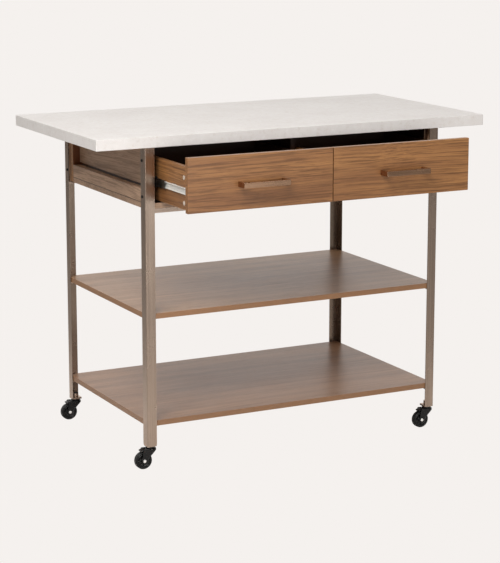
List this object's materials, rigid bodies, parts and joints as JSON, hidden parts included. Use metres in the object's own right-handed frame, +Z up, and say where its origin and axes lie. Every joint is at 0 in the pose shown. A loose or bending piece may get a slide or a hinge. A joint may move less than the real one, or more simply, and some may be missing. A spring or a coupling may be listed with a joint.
{
  "type": "kitchen island cart",
  "caption": "Rolling kitchen island cart: stone-look worktop with end overhangs, side-by-side drawers standing part open, and open walnut shelves in an angle-steel frame on braked casters.",
  "frame": {"origin": "on the floor under the middle of the four-legged frame", "axes": "+X along the worktop to the right, the drawers open towards -Y, +Z up from the floor"},
  "size_m": [1.2, 0.825, 0.914],
  "materials": {
    "worktop_stone": "off-white stone look with faint mottling, satin",
    "walnut_laminate": "mid-brown walnut-grain laminate, satin",
    "drawer_floor_board": "thin printed hardboard, matt",
    "frame_steel": "taupe bronze satin powder coat",
    "zinc_slides": "zinc plated",
    "bright_steel": "zinc plated",
    "black_bolts": "black oxide",
    "caster_black_steel": "gloss black coat",
    "caster_black_rubber": "moulded, satin",
    "black_plastic": "moulded, matt",
    "cam_cap_plastic": "moulded, matt"
  },
  "bodies": {
    "cart_frame": {"cabinet_back": "walnut_laminate", "cabinet_bottom": "walnut_laminate", "cabinet_slides": "zinc_slides", "caster_sockets": "frame_steel", "caster_stems": "bright_steel", "centre_partition": "walnut_laminate", "corner_blocks": "walnut_laminate", "leg_back_left": "frame_steel", "leg_back_right": "frame_steel", "leg_bolts": "black_bolts", "leg_front_left": "frame_steel", "leg_front_right": "frame_steel", "lower_shelf": "walnut_laminate", "shelf_plates": "frame_steel", "shelf_screws": "bright_steel", "side_panel_left": "walnut_laminate", "side_panel_right": "walnut_laminate", "side_rails": "walnut_laminate", "slide_bumpers": "black_plastic", "stretcher_back": "frame_steel", "stretcher_front": "frame_steel", "upper_shelf": "walnut_laminate", "worktop": "worktop_stone", "worktop_brackets": "bright_steel"},
    "drawer_left": {"drawer_front_left": "walnut_laminate", "drawer_outer_side_left": "walnut_laminate", "drawer_inner_side_left": "walnut_laminate", "drawer_back_left": "walnut_laminate", "drawer_floor_left": "drawer_floor_board", "drawer_slides_left": "zinc_slides", "cam_caps_left": "cam_cap_plastic", "handle_left": "frame_steel", "handle_screws_left": "bright_steel"},
    "slide_cages_left": {"ball_cages_left": "zinc_slides"},
    "drawer_right": {"drawer_front_right": "walnut_laminate", "drawer_outer_side_right": "walnut_laminate", "drawer_inner_side_right": "walnut_laminate", "drawer_back_right": "walnut_laminate", "drawer_floor_right": "drawer_floor_board", "drawer_slides_right": "zinc_slides", "cam_caps_right": "cam_cap_plastic", "handle_right": "frame_steel", "handle_screws_right": "bright_steel"},
    "slide_cages_right": {"ball_cages_right": "zinc_slides"},
    "caster_front_left": {"caster_fork_front_left": "caster_black_steel", "caster_axle_front_left": "bright_steel"},
    "wheel_front_left": {"caster_wheel_front_left": "caster_black_rubber"},
    "brake_front_left": {"brake_lever_front_left": "black_plastic"},
    "caster_front_right": {"caster_fork_front_right": "caster_black_steel", "caster_axle_front_right": "bright_steel"},
    "wheel_front_right": {"caster_wheel_front_right": "caster_black_rubber"},
    "brake_front_right": {"brake_lever_front_right": "black_plastic"},
    "caster_back_left": {"caster_fork_back_left": "caster_black_steel", "caster_axle_back_left": "bright_steel"},
    "wheel_back_left": {"caster_wheel_back_left": "caster_black_rubber"},
    "brake_back_left": {"brake_lever_back_left": "black_plastic"},
    "caster_back_right": {"caster_fork_back_right": "caster_black_steel", "caster_axle_back_right": "bright_steel"},
    "wheel_back_right": {"caster_wheel_back_right": "caster_black_rubber"},
    "brake_back_right": {"brake_lever_back_right": "black_plastic"}
  },
  "joints": [
    {"name": "drawer_left_slide", "type": "slide", "parent": "cart_frame", "child": "drawer_left", "axis": [0, -1, 0], "range_m": [-0.203, 0.09]},
    {"name": "slide_cages_left_slide", "type": "slide", "parent": "cart_frame", "child": "slide_cages_left", "axis": [0, -1, 0], "range_m": [-0.1015, 0.045]},
    {"name": "drawer_right_slide", "type": "slide", "parent": "cart_frame", "child": "drawer_right", "axis": [0, -1, 0], "range_m": [-0.203, 0.09]},
    {"name": "slide_cages_right_slide", "type": "slide", "parent": "cart_frame", "child": "slide_cages_right", "axis": [0, -1, 0], "range_m": [-0.1015, 0.045]},
    {"name": "caster_front_left_swivel", "type": "hinge", "parent": "cart_frame", "child": "caster_front_left", "pos_m": [-0.443, -0.272, 0.055], "axis": [0, 0, 1], "continuous": true},
    {"name": "wheel_front_left_spin", "type": "hinge", "parent": "caster_front_left", "child": "wheel_front_left", "pos_m": [-0.465, -0.272, 0.024], "axis": [0, 1, 0], "continuous": true},
    {"name": "brake_front_left_press", "type": "hinge", "parent": "caster_front_left", "child": "brake_front_left", "pos_m": [-0.4625, -0.272, 0.0535], "axis": [0, -1, 0], "range_deg": [0, 8]},
    {"name": "caster_front_right_swivel", "type": "hinge", "parent": "cart_frame", "child": "caster_front_right", "pos_m": [0.443, -0.272, 0.055], "axis": [0, 0, 1], "continuous": true},
    {"name": "wheel_front_right_spin", "type": "hinge", "parent": "caster_front_right", "child": "wheel_front_right", "pos_m": [0.421, -0.272, 0.024], "axis": [0, 1, 0], "continuous": true},
    {"name": "brake_front_right_press", "type": "hinge", "parent": "caster_front_right", "child": "brake_front_right", "pos_m": [0.4235, -0.272, 0.0535], "axis": [0, -1, 0], "range_deg": [0, 8]},
    {"name": "caster_back_left_swivel", "type": "hinge", "parent": "cart_frame", "child": "caster_back_left", "pos_m": [-0.443, 0.272, 0.055], "axis": [0, 0, 1], "continuous": true},
    {"name": "wheel_back_left_spin", "type": "hinge", "parent": "caster_back_left", "child": "wheel_back_left", "pos_m": [-0.465, 0.272, 0.024], "axis": [0, 1, 0], "continuous": true},
    {"name": "brake_back_left_press", "type": "hinge", "parent": "caster_back_left", "child": "brake_back_left", "pos_m": [-0.4625, 0.272, 0.0535], "axis": [0, -1, 0], "range_deg": [0, 8]},
    {"name": "caster_back_right_swivel", "type": "hinge", "parent": "cart_frame", "child": "caster_back_right", "pos_m": [0.443, 0.272, 0.055], "axis": [0, 0, 1], "continuous": true},
    {"name": "wheel_back_right_spin", "type": "hinge", "parent": "caster_back_right", "child": "wheel_back_right", "pos_m": [0.421, 0.272, 0.024], "axis": [0, 1, 0], "continuous": true},
    {"name": "brake_back_right_press", "type": "hinge", "parent": "caster_back_right", "child": "brake_back_right", "pos_m": [0.4235, 0.272, 0.0535], "axis": [0, -1, 0], "range_deg": [0, 8]}
  ],
  "couplings": [
    {"joint": "slide_cages_left_slide", "follows": "drawer_left_slide", "ratio": 0.5},
    {"joint": "slide_cages_right_slide", "follows": "drawer_right_slide", "ratio": 0.5}
  ]
}
